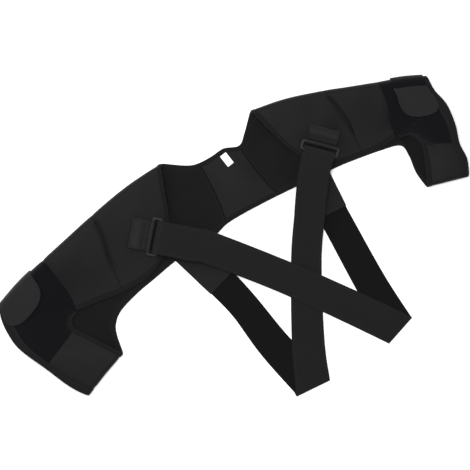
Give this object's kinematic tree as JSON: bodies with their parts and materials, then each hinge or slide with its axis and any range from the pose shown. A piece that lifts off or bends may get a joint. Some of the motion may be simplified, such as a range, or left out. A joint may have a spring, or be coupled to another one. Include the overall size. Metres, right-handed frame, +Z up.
{
  "type": "double shoulder brace",
  "caption": "Double shoulder brace of black neoprene, lying flat, chest panels up, with crossed elastic straps, loop buckles and hook closing tabs on the arm cuffs.",
  "frame": {"origin": "under the middle of the brace's bounding box, on the surface that it lies on", "axes": "+Z up off the surface, +X along the shoulders towards the wearer's left as it lies front up, +Y from the crossed straps towards the neck"},
  "size_m": [0.7436, 0.4208, 0.0251],
  "materials": {
    "neoprene": "matt knitted neoprene facing",
    "binding": "stretch binding with two rows of stitches",
    "loop_fabric": "brushed loop pile, bluish black",
    "hook_fabric": "smooth back of a hook closing tab",
    "elastic": "fine ribbed elastic, velvety on its other face",
    "webbing": "satin ribbed webbing",
    "plastic": "moulded, slightly glossy",
    "label": "plain woven label, blank"
  },
  "bodies": {
    "root": {"back_left": "neoprene", "back_centre": "neoprene", "back_right": "neoprene", "neck_binding": "binding", "hem_binding": "binding", "chest_panel_left": "neoprene", "arm_panel_left": "neoprene", "chest_binding_left": "binding", "front_hem_binding_left": "binding", "loop_panel_left": "loop_fabric", "cuff_panel_left": "neoprene", "armhole_binding_left": "binding", "cuff_hem_left": "binding", "hook_tab_left": "hook_fabric", "webbing_tab_left": "webbing", "buckle_left": "plastic", "anchor_left": "webbing", "chest_panel_right": "neoprene", "arm_panel_right": "neoprene", "chest_binding_right": "binding", "front_hem_binding_right": "binding", "loop_panel_right": "loop_fabric", "cuff_panel_right": "neoprene", "armhole_binding_right": "binding", "cuff_hem_right": "binding", "hook_tab_right": "hook_fabric", "webbing_tab_right": "webbing", "buckle_right": "plastic", "anchor_right": "webbing", "tab_band_right": "loop_fabric", "label": "label", "strap_a": "elastic", "strap_b": "elastic"}
  },
  "joints": []
}
